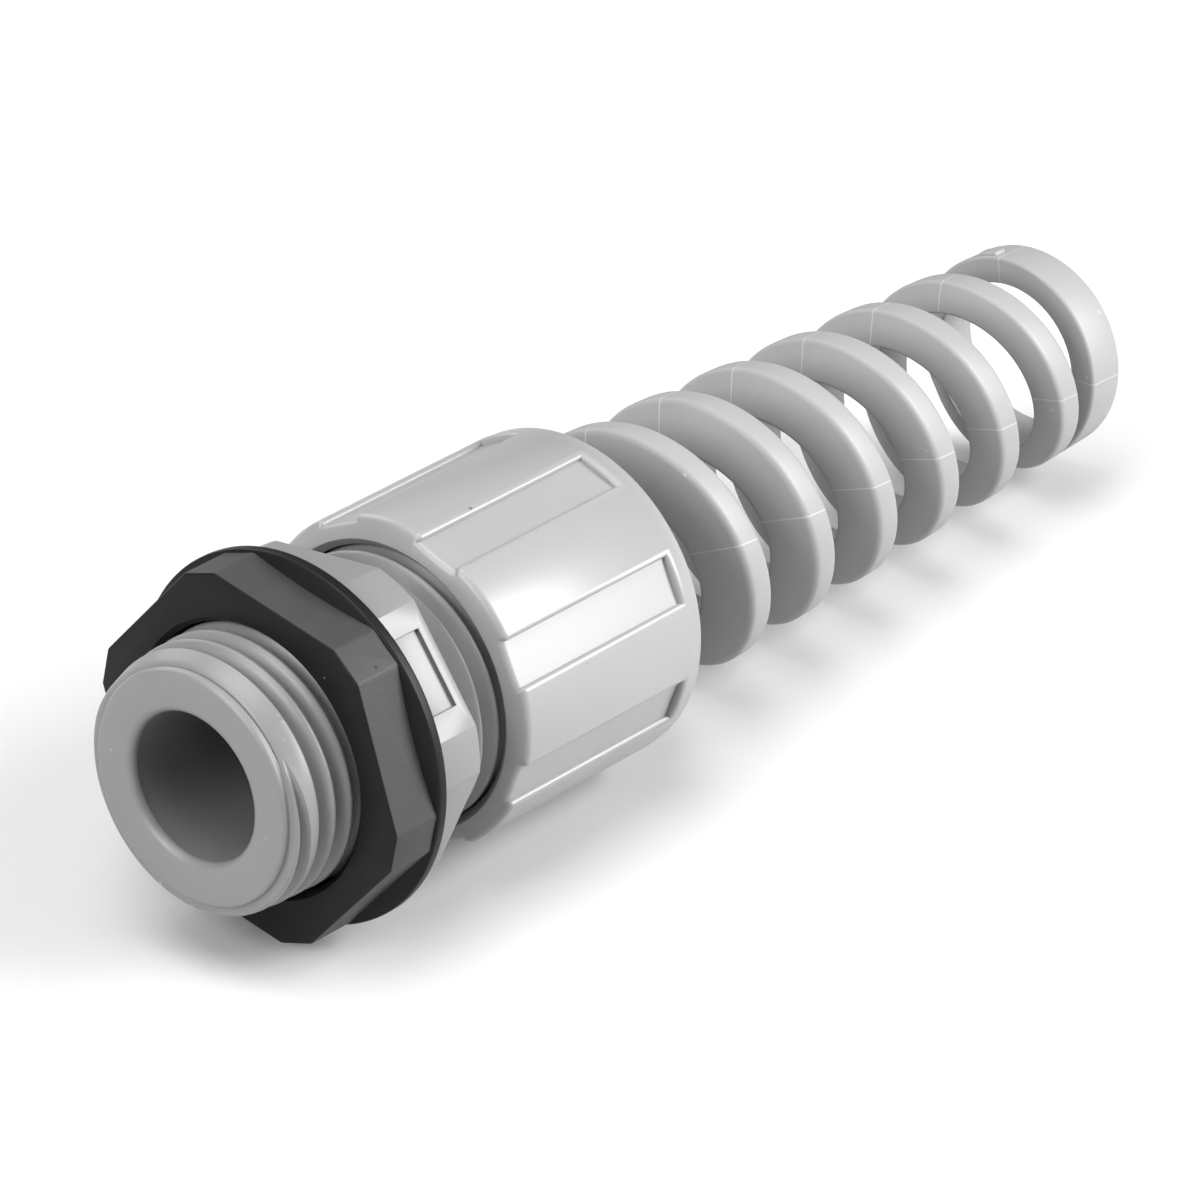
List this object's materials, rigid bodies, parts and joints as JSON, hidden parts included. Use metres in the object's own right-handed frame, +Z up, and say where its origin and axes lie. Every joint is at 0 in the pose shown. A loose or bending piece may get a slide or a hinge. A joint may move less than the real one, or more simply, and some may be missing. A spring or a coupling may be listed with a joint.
{
  "type": "strain relief bushing",
  "caption": "Threaded cord grip with a locknut, a hexagon body, a fluted compression nut and a tapered spiral that eases the bend of a cord.",
  "frame": {"origin": "middle of the overall box in plan, at the floor that the part lies on", "axes": "+X along the length from the entry thread to the end of the spiral, +Z up, +Y to the left when looking along +X; the part's own axis slopes down by 2.85 degrees towards +X, as it lies"},
  "size_m": [0.1034, 0.0298, 0.0299],
  "materials": {
    "body_grey": "satin moulded nylon",
    "grommet_black": "matt",
    "locknut_black": "semi-matt moulded nylon",
    "nut_grey": "soft gloss moulded nylon",
    "spiral_grey": "matt moulded nylon"
  },
  "bodies": {
    "body": {"gland_body": "body_grey", "sealing_grommet": "grommet_black"},
    "locknut": {"locknut": "locknut_black"},
    "spiral": {"bend_relief": "spiral_grey"},
    "nut": {"compression_nut": "nut_grey"}
  },
  "joints": [
    {"name": "locknut_travel", "type": "slide", "parent": "body", "child": "locknut", "axis": [0.9988, 0, -0.0497], "range_m": [-0.00544, 0]},
    {"name": "nut_travel", "type": "slide", "parent": "body", "child": "spiral", "axis": [0.9988, 0, -0.0497], "range_m": [-0.00341, 0.00585]},
    {"name": "nut_turn", "type": "hinge", "parent": "spiral", "child": "nut", "pos_m": [-0.02929, 0, 0.01442], "axis": [0.9988, 0, -0.0497], "range_deg": [-630, 1080]}
  ],
  "couplings": [
    {"joint": "nut_travel", "follows": "nut_turn", "m_per_rad": 0.00031035}
  ]
}
